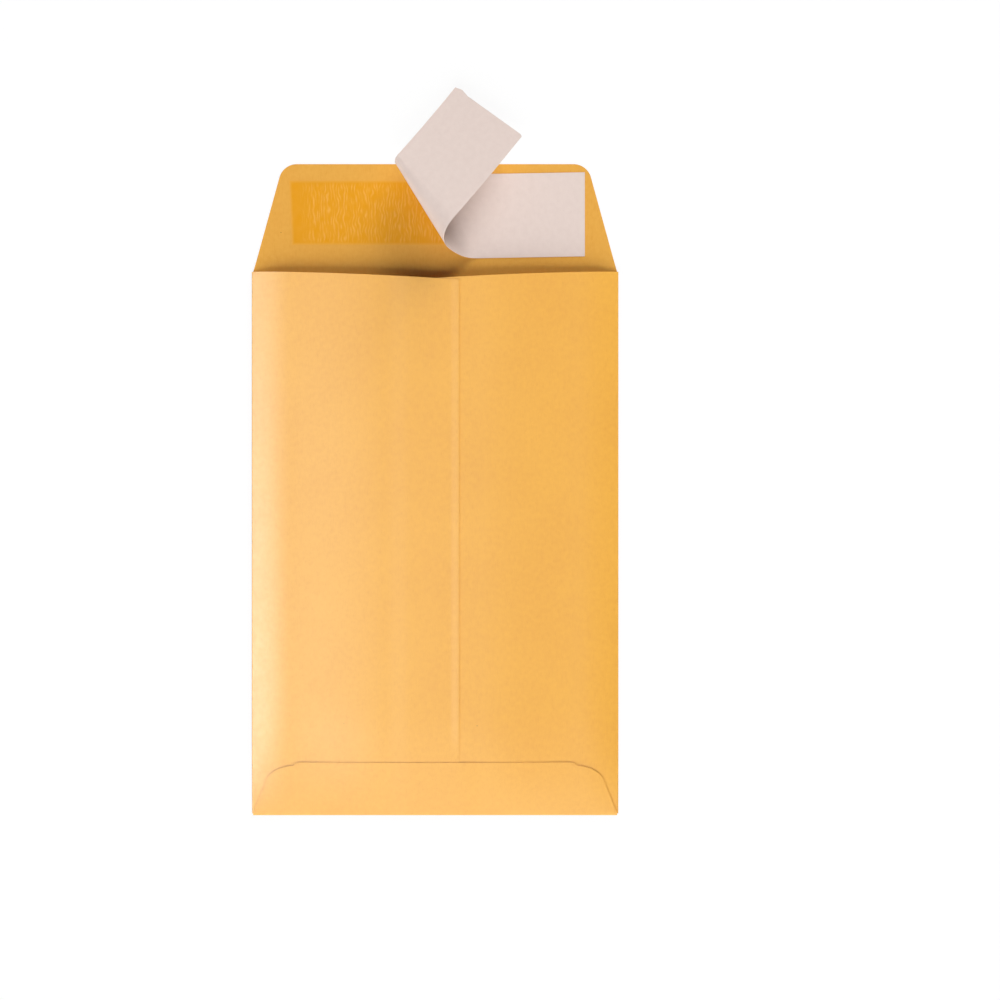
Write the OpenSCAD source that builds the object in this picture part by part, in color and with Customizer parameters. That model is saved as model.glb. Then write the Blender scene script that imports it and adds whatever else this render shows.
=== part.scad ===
// Open-end paper envelope with a peel-and-seal flap, lying on its front panel
// with the back up, the flap open and the release liner half peeled.
// Millimetres. The origin is the centre of the front panel's outer face,
// +Y points to the flap and +Z up from the surface that the envelope lies on.

/* [Envelope] */
// Width of the closed envelope between its side folds
env_w = 152.4; // [120:0.1:260]
// Height from the bottom fold to the score line of the seal flap
env_h = 228.6; // [170:0.1:380]
// Thickness of the kraft paper
paper_t = 0.15; // [0.1:0.01:0.25]
// Thickness of the dried glue films in the seams
glue_t = 0.03; // [0.02:0.01:0.06]

/* [Folds and swell] */
// Radius of the side folds, at the middle of the paper
side_fold_r = 0.4; // [0.3:0.05:1]
// Distance that the bottom fold reaches past the panels it wraps
bottom_fold_reach = 0.7; // [0.4:0.05:2]
// Inside height of the mouth at its middle
mouth_gap = 6; // [4.8:0.1:9]
// Rise of the front panel from its flat middle to the side folds
front_rise = 1.2; // [0.4:0.1:1.6]
// Rise of the back panels in the shoulder beside each side fold
shoulder_rise = 2; // [0.8:0.1:2.4]
// Width of the shoulders
shoulder_w = 12; // [6:0.5:16]
// Share of the shoulder's rise that is lost at the mouth
mouth_pinch = 0.1; // [0:0.05:0.9]
// Distance above the bottom flap's edge at which the full swell is reached
swell_run = 20; // [8:1:60]

/* [Back panels] */
// Distance of the upper back panel's free edge from the middle
seam_x = 10.2; // [4:0.1:18]
// Overlap of the two back panels at the centre seam
seam_lap = 20.4; // [8:0.1:30]
// Width over which paper drapes down from one layer to two
drape_w = 10; // [4:0.5:16]
// Width of the glue film in the centre seam
seam_glue_w = 6; // [3:0.5:7]
// Distance from the score line down to the mouth's ends at the side folds
throat_side_drop = 2.6; // [1:0.1:6]
// Further drop of the mouth's edge from its ends to the seam
throat_dip = 3.5; // [0.5:0.1:20]
// Power of that edge's curve, where 1 is a straight slope
throat_power = 1.6; // [1:0.1:3]

/* [Bottom flap] */
// Height of the bottom flap from the bottom fold to its straight edge
flap_low_h = 22.3; // [18:0.1:40]
// Distance that each side edge slants in
flap_low_inset = 6; // [1:0.1:12]
// Height at which the side edge turns into the corner
flap_low_side_h = 15.8; // [8:0.1:17]
// Width of the rounded corner
flap_low_corner_w = 11.1; // [4:0.1:18]
// Height of the die-cut step between the corner and the straight edge
flap_low_step = 1.4; // [0.3:0.1:2]
// Lift of the unglued corners off the panel below
flap_low_lift = 0.15; // [0.1:0.01:0.5]
// Height of the glue film under the straight edge
flap_glue_h = 8; // [3:0.5:10]
// Distance of that film from the straight edge
flap_glue_margin = 2.5; // [1:0.1:5]

/* [Seal flap] */
// Height of the seal flap above the score line
seal_h = 42.4; // [38:0.1:80]
// Slope of the flap's side edges from upright, in degrees
seal_taper = 15.4; // [2:0.1:18]
// Radius of the flap's corners
seal_r = 7.5; // [3:0.1:12]
// Width of the pressed score line
score_w = 0.8; // [0.4:0.1:1.5]
// Depth of the score line
score_h = 0.08; // [0.02:0.01:0.15]

/* [Adhesive strip] */
// Length of the strip of adhesive along the flap
strip_l = 121.6; // [60:0.1:124]
// Height of the strip
strip_h = 26.9; // [10:0.1:28]
// Distance from the score line to the strip's lower edge
strip_low = 8.7; // [7:0.1:12]
// Thickness of the strip
strip_t = 0.08; // [0.04:0.01:0.2]
// Slant of the strip's left end over its height
strip_slant = 1.2; // [0:0.1:4]

/* [Release liner] */
// Length of the liner when it lies flat
liner_l = 128; // [124:0.1:132]
// Width of the liner
liner_w = 35; // [30:0.1:37]
// Thickness of the liner
liner_t = 0.09; // [0.06:0.01:0.15]
// Distance from the adhesive's lower edge to the liner's lower edge
liner_under = 4.7; // [1:0.1:5]
// Distance that the liner's stuck end reaches past the adhesive
liner_over = 1.5; // [0:0.1:4]
// Turn of the stuck liner from the line of the adhesive
liner_skew = 1; // [0:0.1:2]
// Length of the liner that is still stuck down, along its middle
stuck_l = 53.3; // [48:0.1:60]
// Length of the liner that is in the roll, along its middle
roll_l = 32.2; // [28:0.1:36]
// Angle of the roll's first fold line from the strip
roll_from = 117; // [112:0.1:122]
// Angle of the roll's last fold line from the strip
roll_to = 101.7; // [98:0.1:106]
// Further angle of the fold line halfway through the roll
roll_bow = 12; // [8:0.5:14]
// Angle that the roll turns the strip through
roll_turn = 198; // [190:1:206]
// Share by which the roll tightens towards its end
roll_tighten = 0.6; // [0.3:0.05:0.8]
// Share by which the roll is tighter at its two ends than halfway
roll_flatten = 1.7; // [1:0.05:1.8]
// Angle that the free end bends back through
free_turn = 12; // [0:1:20]

/* [Hidden] */

kraft_colour = "#f0b25a";
adhesive_colour = "#e9a52b";
glue_colour = "#d9c48f";
liner_colour = "#e0cfc7";

// Counts of facets along each curve
bend_steps = 6;
shoulder_steps = 4;
crown_steps = 4;
arc_steps = 4;
swell_steps = 3;
mouth_steps = 5;
roll_steps = 24;
free_steps = 8;

// Levels and edges of the folded sheet, on the middle of the paper
half_w = env_w / 2 - paper_t / 2 - side_fold_r;
fold_y = -env_h / 2 + paper_t / 2 + bottom_fold_reach;
score_y = env_h / 2;
mouth_y = score_y - throat_side_drop;
lap_left = seam_lap - seam_x;
flat_half = max(lap_left, seam_x) + drape_w;
flat_level = paper_t / 2 + 2 * side_fold_r;
crown_level = mouth_gap + 1.5 * paper_t;
layer = paper_t + glue_t;

// Rows of the bottom flap and of the swell above it
flap_low_y = -env_h / 2 + flap_low_h;
glue_top_y = flap_low_y - flap_glue_margin;
glue_low_y = glue_top_y - flap_glue_h;
swell_y = flap_low_y + swell_run;
flap_rows = [fold_y, glue_low_y, (glue_low_y + glue_top_y) / 2, glue_top_y, flap_low_y];
low_rows = concat(flap_rows, [for (i = [1:swell_steps]) flap_low_y + swell_run * i / swell_steps]);
last_low = len(low_rows) - 1;

// Rows of the seal flap
seal_y = score_y + seal_h;
strip_y = score_y + strip_low;
liner_y = strip_y - liner_under;

function clamp01(v) = min(1, max(0, v));
function smooth(v) = let (u = clamp01(v)) u * u * (3 - 2 * u);
function mix(a, b, f) = a + (b - a) * f;
function flip(list) = [for (i = [len(list) - 1:-1:0]) list[i]];
function total(list) = [for (i = 0, s = 0; i <= len(list); s = s + (i < len(list) ? list[i] : 0), i = i + 1) s][len(list)];

// Share of the full swell at height y, 0 at the bottom fold
function swell(y) = y >= swell_y ? 1 : 1 - pow((swell_y - y) / (swell_y - fold_y), 2);
// Share of the shoulder's rise at height y, falling towards the mouth
function belly(y) = 1 - mouth_pinch * pow(clamp01((y - swell_y) / (mouth_y - swell_y)), 2);
// Height of the front panel, and of the lower back panel
function front_z(x, y) =
    paper_t / 2 + front_rise * swell(y) * pow(1 - clamp01((half_w - abs(x)) / shoulder_w), 2);
function back_z(x, y) =
    let (
        d = half_w - abs(x),
        side = flat_level + front_rise * swell(y),
        rise = shoulder_rise * swell(y) * belly(y),
        top = mix(flat_level, crown_level, swell(y))
    )
    side + rise * (1 - pow(1 - clamp01(d / shoulder_w), 2))
    + (top - side - rise) * smooth((d - shoulder_w) / (half_w - shoulder_w - flat_half));
// Rise of the upper back panel over the lower one, and of the bottom flap over both
function left_lift(x) = layer * smooth((x + lap_left + drape_w) / drape_w);
function flap_lift(x) =
    layer + min(left_lift(x), layer * smooth((seam_x + drape_w - x) / drape_w))
    + flap_low_lift * clamp01((abs(x) - fan_x) / (half_w - fan_x));

// Columns of points from the middle outwards, past the drape at x0
function outer_cols(x0) = concat(
    [for (i = [1:crown_steps]) mix(x0, half_w - shoulder_w, i / crown_steps)],
    [for (i = [1:shoulder_steps]) half_w - shoulder_w * (1 - i / shoulder_steps)]
);
left_outer = outer_cols(lap_left + drape_w);
right_outer = outer_cols(seam_x + drape_w);
left_drape = [-lap_left, -lap_left - drape_w / 2, -lap_left - drape_w];
right_drape = [seam_x, seam_x + drape_w / 2, seam_x + drape_w];
left_cols = concat([seam_x], left_drape, -left_outer);
right_cols = concat(flip(right_outer), flip(right_drape), [-lap_left]);
front_cols = concat(flip(-left_outer), flip(left_drape), right_drape, right_outer);
cols = len(front_cols);

// Columns that fan out to the rounded corners of both flaps, from each side
fan = shoulder_steps + 2;
fan_x = max(left_outer[crown_steps - 3], right_outer[crown_steps - 3]);

// The mouth's edge over a back panel, by the share u from the side fold to the free edge
function mouth_edge(u) = mouth_y - throat_dip * pow(clamp01(u), throat_power);
function row_y(r, edge) =
    r <= last_low ? low_rows[r] : mix(swell_y, edge, (r - last_low) / mouth_steps);
rows = last_low + mouth_steps + 1;

// One row of the folded tube, from the upper back panel's free edge round to the lower one's
function tube_row(r) = let (y = row_y(r, mouth_y)) concat(
    [for (x = left_cols)
        let (v = row_y(r, mouth_edge((half_w + x) / (half_w + seam_x))))
        [x, v, back_z(x, v) + left_lift(x)]],
    side_bend(-1, y),
    [for (x = front_cols) [x, y, front_z(x, y)]],
    side_bend(1, y),
    [for (x = right_cols)
        let (v = row_y(r, mouth_edge((half_w - x) / (half_w + lap_left))))
        [x, v, back_z(x, v)]]
);
// The side folds, half an ellipse between the front and back panels
function side_bend(side, y) =
    let (low = front_z(half_w, y), high = back_z(half_w, y))
    [for (i = [1:bend_steps - 1])
        let (a = side * (180 * i / bend_steps - 90))
        [side * (half_w + side_fold_r * cos(a)), y, (low + high) / 2 + (high - low) / 2 * sin(a)]];

// Points of a row moved off the middle of the paper, square to it in X and Z
function offset_row(row, d) = [for (i = [0:len(row) - 1])
    let (
        t = row[min(i + 1, len(row) - 1)] - row[max(i - 1, 0)],
        n = [t[2], 0, -t[0]] / norm([t[2], t[0]])
    )
    row[i] + n * d];

// Outline of the seal flap: its side edge, corner arc and top
function seal_side(y) = half_w - (y - mouth_y) * tan(seal_taper);
seal_arc_x = seal_side(seal_y) - seal_r * tan((90 - seal_taper) / 2);
function seal_end(k) =
    k < arc_steps + 1
    ? let (a = mix(seal_taper, 90, k / arc_steps))
        [seal_arc_x + seal_r * cos(a), seal_y - seal_r + seal_r * sin(a)]
    : [(seal_arc_x + fan_x) / 2, seal_y];
seal_low_rows = [score_y - score_w / 2, score_y, score_y + score_w / 2, liner_y];
seal_steps = 4;
seal_rows = len(seal_low_rows) + seal_steps;
function seal_point(k, r) =
    let (x = front_cols[k], n = len(seal_low_rows), y = seal_low_rows[min(r, n - 1)])
    let (
        out = min(k, cols - 1 - k),
        end = out < fan ? seal_end(out) : [abs(x), seal_y],
        low = [abs(x) * seal_side(y) / half_w, y],
        at = r < n ? low : mix(low, end, (r - n + 1) / seal_steps),
        fade = pow(1 - clamp01((y - mouth_y) / (liner_y - mouth_y)), 2)
    )
    [sign(x) * at[0], at[1],
        paper_t / 2 + (front_z(x, mouth_y) - paper_t / 2) * fade + (r == 1 ? score_h : 0)];
function seal_row(r) = [for (k = [0:cols - 1]) seal_point(k, r)];

// Outline of the bottom flap: slanting side, curved corner, step and straight edge
corner_x = half_w - flap_low_inset - flap_low_corner_w;
corner_h = flap_low_h - flap_low_step - flap_low_side_h;
function low_end(k) =
    k < arc_steps
    ? let (u = k / (arc_steps - 1), pull = 2 * u * (1 - u))
        [corner_x + flap_low_corner_w * (pow(1 - u, 2) + 0.69 * pull),
            flap_low_y - flap_low_step - corner_h * (1 - 0.94 * pull - u * u)]
    : k == arc_steps ? [corner_x - flap_low_step / 2, flap_low_y]
    : [mix(corner_x - flap_low_step / 2, fan_x, 1 / 2), flap_low_y];
function low_point(k, r) =
    let (
        x = front_cols[k],
        out = min(k, cols - 1 - k),
        end = out < fan ? low_end(out) : [abs(x), flap_low_y],
        at = mix([abs(x), fold_y], end, (flap_rows[r] - fold_y) / (flap_low_y - fold_y)),
        px = sign(x) * at[0]
    )
    [px, at[1], back_z(px, at[1]) + flap_lift(px)];
function low_row(r) = [for (k = [0:cols - 1]) low_point(k, r)];
// The bottom fold's rings of points, offset square to an ellipse in Y and Z
function fold_ring(i, d) = [for (k = [0:cols - 1])
    let (
        a = 180 * i / bend_steps - 90,
        low = front_z(front_cols[k], fold_y),
        high = low_point(k, 0)[2],
        rz = (high - low) / 2,
        n = [cos(a) / bottom_fold_reach, sin(a) / rz],
        u = n / norm(n)
    )
    [front_cols[k], fold_y - bottom_fold_reach * cos(a) - u[0] * d, (low + high) / 2 + rz * sin(a) + u[1] * d]];

// All points of one face of the sheet: the tube, then the seal flap, then the bottom flap
function sheet_face(d) = concat(
    [for (r = [0:rows - 1]) each offset_row(tube_row(r), d)],
    [for (r = [0:seal_rows - 1]) each offset_row(seal_row(r), d)],
    [for (i = [1:bend_steps - 1]) each fold_ring(i, d)],
    [for (r = [0:len(flap_rows) - 1]) each offset_row(low_row(r), -d)]
);

// Numbers of the points in those grids
ring = len(left_cols) + 2 * (bend_steps - 1) + cols + len(right_cols);
front_at = len(left_cols) + bend_steps - 1;
low_rings = bend_steps - 1 + len(flap_rows);
function tube_n(i, r) = r * ring + i;
function seal_n(k, r) = r == 0 ? tube_n(front_at + k, rows - 1) : rows * ring + (r - 1) * cols + k;
function low_n(k, r) =
    r == 0 ? tube_n(front_at + k, 0) : rows * ring + (seal_rows + r - 1) * cols + k;

function is_front(i) = i >= front_at && i < front_at + cols - 1;
function quad_ac(a, b, c, d) = [[a, b, c], [a, c, d]];
function quad_bd(a, b, c, d) = [[a, b, d], [b, c, d]];

// Outer triangles of the sheet, clockwise from outside
sheet_faces = concat(
    [for (r = [0:rows - 2], i = [0:ring - 2]) each
        is_front(i)
        ? quad_ac(tube_n(i, r), tube_n(i + 1, r), tube_n(i + 1, r + 1), tube_n(i, r + 1))
        : quad_bd(tube_n(i, r), tube_n(i + 1, r), tube_n(i + 1, r + 1), tube_n(i, r + 1))],
    [for (r = [0:seal_rows - 1], k = [0:cols - 2]) each
        quad_ac(seal_n(k, r), seal_n(k + 1, r), seal_n(k + 1, r + 1), seal_n(k, r + 1))],
    [for (r = [0:low_rings - 1], k = [0:cols - 2]) each
        quad_bd(low_n(k, r + 1), low_n(k + 1, r + 1), low_n(k + 1, r), low_n(k, r))]
);
// Free edges of the sheet, in the direction of the outer faces beside them
sheet_edges = concat(
    [for (i = [0:ring - 2]) if (!is_front(i)) [tube_n(i, 0), tube_n(i + 1, 0)]],
    [for (i = [0:ring - 2]) if (!is_front(i)) [tube_n(i + 1, rows - 1), tube_n(i, rows - 1)]],
    [for (r = [0:rows - 2]) [tube_n(0, r + 1), tube_n(0, r)]],
    [for (r = [0:rows - 2]) [tube_n(ring - 1, r), tube_n(ring - 1, r + 1)]],
    [for (r = [0:seal_rows - 1]) [seal_n(0, r + 1), seal_n(0, r)]],
    [for (r = [0:seal_rows - 1]) [seal_n(cols - 1, r), seal_n(cols - 1, r + 1)]],
    [for (k = [0:cols - 2]) [seal_n(k + 1, seal_rows), seal_n(k, seal_rows)]],
    [for (r = [0:low_rings - 1]) [low_n(0, r), low_n(0, r + 1)]],
    [for (r = [0:low_rings - 1]) [low_n(cols - 1, r + 1), low_n(cols - 1, r)]],
    [for (k = [0:cols - 2]) [low_n(k, low_rings), low_n(k + 1, low_rings)]]
);

// A closed skin from its outer points, its inner points, the outer triangles and the free edges
module skin(outer, inner, faces, edges) {
    n = len(outer);
    polyhedron(
        points = concat(outer, inner),
        faces = concat(
            faces,
            [for (f = faces) [f[2] + n, f[1] + n, f[0] + n]],
            [for (e = edges) each [[e[1], e[0], e[0] + n], [e[1], e[0] + n, e[1] + n]]]
        )
    );
}

// A closed slab between two grids of points, rows along +Y and columns along +X
module slab(upper, lower) {
    nr = len(upper);
    nc = len(upper[0]);
    skin(
        [for (row = upper) each row],
        [for (row = lower) each row],
        [for (r = [0:nr - 2], c = [0:nc - 2]) each
            quad_bd(r * nc + c + 1, r * nc + c, (r + 1) * nc + c, (r + 1) * nc + c + 1)],
        concat(
            [for (c = [0:nc - 2]) [c + 1, c]],
            [for (c = [0:nc - 2]) [(nr - 1) * nc + c, (nr - 1) * nc + c + 1]],
            [for (r = [0:nr - 2]) [r * nc, (r + 1) * nc]],
            [for (r = [0:nr - 2]) [(r + 1) * nc + nc - 1, r * nc + nc - 1]]
        )
    );
}

// The one folded sheet: front panel, two back panels, bottom flap and seal flap
module envelope_sheet() {
    color(kraft_colour)
    skin(sheet_face(paper_t / 2), sheet_face(-paper_t / 2), sheet_faces, sheet_edges);
}

// Glue film between the two back panels
module seam_glue() {
    middle = (seam_x - lap_left) / 2;
    ends = [middle - seam_glue_w / 2, middle + seam_glue_w / 2];
    ys = concat([for (i = [1:last_low]) low_rows[i]], [mouth_y - throat_dip - drape_w]);
    color(glue_colour)
    slab(
        [for (y = ys) [for (x = ends) [x, y, back_z(x, y) + paper_t / 2 + glue_t]]],
        [for (y = ys) [for (x = ends) [x, y, back_z(x, y) + paper_t / 2]]]
    );
}

// Glue films between the bottom flap and the back panels, one over each panel
module bottom_flap_glue() {
    lower_left = [for (r = [1:3]) offset_row(tube_row(r), paper_t / 2)];
    upper = [for (r = [1:3]) offset_row(low_row(r), paper_t / 2)];
    right_at = front_at + cols + bend_steps - 1;
    seam_k = cols - len(right_outer) - len(right_drape);
    color(glue_colour) {
        slab(
            [for (row = upper) [for (k = [fan:seam_k]) row[k]]],
            [for (row = lower_left) [for (k = [fan:seam_k]) row[seam_k - k]]]
        );
        slab(
            [for (row = upper) [for (k = [seam_k + 2:cols - 1 - fan]) row[k]]],
            [for (row = lower_left) [for (k = [seam_k + 2:cols - 1 - fan]) row[right_at + cols - 1 - k]]]
        );
    }
}

// The strip of adhesive on the inside of the seal flap
module adhesive_strip() {
    color(adhesive_colour)
    translate([0, 0, paper_t])
    linear_extrude(strip_t)
    polygon([
        [-strip_l / 2 + strip_slant, strip_y],
        [strip_l / 2, strip_y],
        [strip_l / 2, strip_y + strip_h],
        [-strip_l / 2, strip_y + strip_h]
    ]);
}

// Fold lines of the peeled liner: distance along its middle, angle and turn of each
stuck_end = strip_l / 2 + liner_over;
liner_mid = liner_y + liner_w / 2;
roll_shares = [for (i = [0:roll_steps - 1])
    let (u = 2 * (i + 0.5) / roll_steps - 1)
    1 + roll_tighten * u + roll_flatten * (abs(u) - 0.5)];
free_l = liner_l - stuck_l - roll_l;
liner_folds = concat(
    [for (i = [0:roll_steps - 1])
        let (u = (i + 0.5) / roll_steps)
        [stuck_l + roll_l * u, mix(roll_from, roll_to, u) + roll_bow * 4 * u * (1 - u),
            roll_turn * roll_shares[i] / total(roll_shares)]],
    [for (i = [0:free_steps - 1])
        let (u = (i + 0.5) / free_steps)
        [stuck_l + roll_l + free_l * u, mix(roll_to, 90, u), -free_turn / free_steps]]
);
// Turn about a level axis at angle b, as a matrix
function turn_about(b, w) =
    let (x = cos(b), y = sin(b), c = cos(w), s = sin(w), v = 1 - c)
    [[c + x * x * v, x * y * v, y * s], [x * y * v, c + y * y * v, -x * s], [-y * s, x * s, c]];
// Place of the strip before each fold line: a turn and a shift that build up along it
liner_start = [[cos(liner_skew), -sin(liner_skew), 0], [sin(liner_skew), cos(liner_skew), 0], [0, 0, 1]];
liner_states = [
    for (
        i = 0, turn = liner_start,
        shift = [stuck_end, liner_mid, 0] - liner_start * [stuck_end, liner_mid, 0];
        i <= len(liner_folds);
        shift = i < len(liner_folds)
            ? let (f = liner_folds[i], c = [stuck_end - f[0], liner_mid, 0])
                shift + turn * (c - turn_about(f[1], f[2]) * c)
            : shift,
        turn = i < len(liner_folds) ? turn * turn_about(liner_folds[i][1], liner_folds[i][2]) : turn,
        i = i + 1
    ) [turn, shift]
];
// The two ends of fold line i, offset by d from the middle of the liner
function liner_line(i, d) =
    let (
        last = len(liner_folds),
        s = i < 0 ? 0 : i == last ? liner_l : liner_folds[i][0],
        b = i < 0 ? 90 - liner_skew : i == last ? 90 : liner_folds[i][1],
        at = liner_states[max(i, 0)],
        next = liner_states[i < 0 ? 0 : min(i + 1, last)],
        n = at[0] * [0, 0, 1] + next[0] * [0, 0, 1],
        level = paper_t + strip_t + liner_t / 2
    )
    [for (side = [-1, 1])
        at[0] * [stuck_end - s + side * liner_w / 2 / tan(b), liner_mid + side * liner_w / 2, 0]
        + at[1] + [0, 0, level] + n / norm(n) * d];

// The release liner, stuck at one end and rolled back over itself
module release_liner() {
    order = [len(liner_folds):-1:-1];
    upper = [for (i = order) liner_line(i, liner_t / 2)];
    lower = [for (i = order) liner_line(i, -liner_t / 2)];
    color(liner_colour)
    slab(
        [for (j = [0, 1]) [for (line = upper) line[j]]],
        [for (j = [0, 1]) [for (line = lower) line[j]]]
    );
}

envelope_sheet();
seam_glue();
bottom_flap_glue();
adhesive_strip();
release_liner();
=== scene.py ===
"""Looks of the open-end paper envelope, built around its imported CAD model.

The folded kraft sheet is mesh code, and the adhesive strip and the release liner are geometry nodes.
Everything is in metres, in the frame of the CAD model: the envelope lies on its front panel at z = 0,
with its back up and the seal flap towards +Y.
"""
import math
from functools import partial

import bpy
import numpy as np
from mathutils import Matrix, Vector


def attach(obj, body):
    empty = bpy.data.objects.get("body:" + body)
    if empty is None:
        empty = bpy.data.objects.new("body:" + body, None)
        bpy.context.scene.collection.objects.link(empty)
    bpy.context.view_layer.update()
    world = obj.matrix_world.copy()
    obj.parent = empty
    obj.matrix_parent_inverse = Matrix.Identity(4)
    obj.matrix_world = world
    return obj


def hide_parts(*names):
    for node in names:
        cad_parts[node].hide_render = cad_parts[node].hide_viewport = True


bl_info = {
    "name": "Paper envelope",
    "version": (1, 0, 0),
    "blender": (4, 5, 0),
    "location": "3D View > Sidebar > Envelope",
    "description": "Builds the paper envelope around its packed CAD model",
    "category": "Add Mesh",
}

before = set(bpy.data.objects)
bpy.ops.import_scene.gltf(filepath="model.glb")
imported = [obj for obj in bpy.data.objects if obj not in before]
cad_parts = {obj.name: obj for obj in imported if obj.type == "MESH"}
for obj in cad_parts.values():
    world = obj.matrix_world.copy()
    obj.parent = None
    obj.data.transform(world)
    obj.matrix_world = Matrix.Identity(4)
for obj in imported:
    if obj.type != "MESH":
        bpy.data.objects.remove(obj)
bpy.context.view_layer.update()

MM = 0.001
# The kinds of node that are used most
MATHS = "ShaderNodeMath"
VECTORS = "ShaderNodeVectorMath"
POINT = "ShaderNodeCombineXYZ"
RANGE = "ShaderNodeMapRange"
NOISE = "ShaderNodeTexNoise"
BLEND = "ShaderNodeMix"


def linear(code):
    """Linear RGB of an sRGB hex code such as #f0b25a."""
    values = [int(code[i:i + 2], 16) / 255 for i in (1, 3, 5)]
    return tuple(v / 12.92 if v <= 0.04045 else ((v + 0.055) / 1.055) ** 2.4 for v in values)


def rgba(colour):
    """A colour property as the four numbers that a colour socket takes."""
    return (*colour, 1.0)


def length(name, description, value):
    """A size property with its default in millimetres, kept in metres."""
    return bpy.props.FloatProperty(name=name, description=description, default=value * MM,
                                   min=0.0, precision=5, unit="LENGTH")


def angle(name, description, degrees):
    """An angle property with its default in degrees."""
    return bpy.props.FloatProperty(name=name, description=description,
                                   default=math.radians(degrees), unit="ROTATION")


def share(name, description, value):
    """A plain factor."""
    return bpy.props.FloatProperty(name=name, description=description, default=value, min=0.0)


def colour(name, description, code):
    """A colour property with its default as an sRGB hex code."""
    return bpy.props.FloatVectorProperty(name=name, description=description, size=3, min=0.0, max=1.0,
                                         default=linear(code), subtype="COLOR")


class SheetSettings(bpy.types.PropertyGroup):
    """Sizes and colours of the folded kraft sheet."""
    width: length("Width", "Width of the closed envelope between its side folds", 152.4)
    height: length("Height", "Height from the bottom fold to the score line", 228.6)
    paper: length("Paper", "Thickness of the kraft paper", 0.15)
    glue: length("Glue", "Thickness of the dried glue films in the seams", 0.03)
    fold_radius: length("Side fold", "Radius of the side folds at the middle of the paper", 0.4)
    fold_reach: length("Bottom fold", "Reach of the bottom fold past the panels it wraps", 0.7)
    mouth_gap: length("Mouth gap", "Inside height of the mouth at its middle", 6.0)
    front_rise: length("Front rise", "Rise of the front panel towards the side folds", 1.2)
    shoulder_rise: length("Shoulder rise", "Rise of the back panels beside the side folds", 2.0)
    shoulder_width: length("Shoulder width", "Width of those shoulders", 12.0)
    mouth_pinch: share("Mouth pinch", "Share of the shoulder's rise that is lost at the mouth", 0.1)
    swell_run: length("Swell run", "Distance above the bottom flap to the full swell", 20.0)
    seam: length("Seam", "Distance of the upper panel's free edge from the middle", 10.2)
    lap: length("Lap", "Overlap of the two back panels at the seam", 20.4)
    drape: length("Drape", "Width over which paper drapes from one layer to two", 10.0)
    seam_lift: length("Seam lift", "Lift of the upper panel's unglued free edge", 0.17)
    throat_drop: length("Throat drop", "Distance from the score line to the mouth's ends", 2.6)
    throat_dip: length("Throat dip", "Further drop of the mouth's edge at the seam", 3.5)
    flap_height: length("Bottom flap", "Height of the bottom flap to its straight edge", 22.3)
    flap_inset: length("Flap inset", "Distance that the bottom flap's sides slant in", 6.0)
    flap_side: length("Flap side", "Height at which the flap's side turns into the corner", 15.8)
    flap_corner: length("Flap corner", "Width of the bottom flap's rounded corner", 11.1)
    flap_step: length("Flap step", "Height of the die-cut step beside the straight edge", 1.4)
    flap_lift: length("Flap lift", "Lift of the bottom flap's unglued corners", 0.32)
    flap_curl: length("Flap curl", "Lift of the bottom flap's straight edge beyond its glue", 0.07)
    seal_height: length("Seal flap", "Height of the seal flap above the score line", 42.4)
    seal_taper: angle("Seal taper", "Slope of the seal flap's sides from upright", 15.4)
    seal_radius: length("Seal corner", "Radius of the seal flap's corners", 7.5)
    score_width: length("Score width", "Width of the pressed score line", 0.8)
    score_depth: length("Score depth", "Depth of the pressed score line", 0.008)
    wave: length("Wave", "Height of the slow waves in the panels", 0.12)
    cushion: share("Cushion", "Share of the back's rise that starts at the side folds already", 0.5)
    kraft: colour("Kraft", "Colour of the kraft paper's glazed outer side", "#e8ab3e")
    inner: colour("Inner side", "Colour of the kraft paper's rough inner side", "#e6ab4d")
    fibre: colour("Fibre", "Colour of the darker fibres and of the thin places", "#d48f30")
    speck: colour("Speck", "Colour of the rare bark specks", "#8a5a26")
    edge: colour("Cut edge", "Colour of the cut edges of the paper", "#cf9446")


class AdhesiveSettings(bpy.types.PropertyGroup):
    """Sizes and colours of the strip of adhesive."""
    length: length("Length", "Length of the strip along the flap", 121.6)
    height: length("Height", "Height of the strip", 26.9)
    low: length("Low edge", "Distance from the score line to the strip's lower edge", 8.7)
    thickness: length("Thickness", "Thickness of the strip", 0.08)
    slant: length("Slant", "Slant of the strip's left end over its height", 1.2)
    spacing: length("Spacing", "Distance between the crinkles", 1.3)
    run: length("Run", "Length of a crinkle", 6.0)
    crinkle: length("Crinkle", "Height of the crinkles", 0.07)
    amber: colour("Amber", "Colour of the adhesive", "#e09707")
    # The crest colour is a painted highlight on the crests of the crinkles
    crest: colour("Crest", "Colour of the crests of the crinkles", "#eeae4c")


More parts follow.
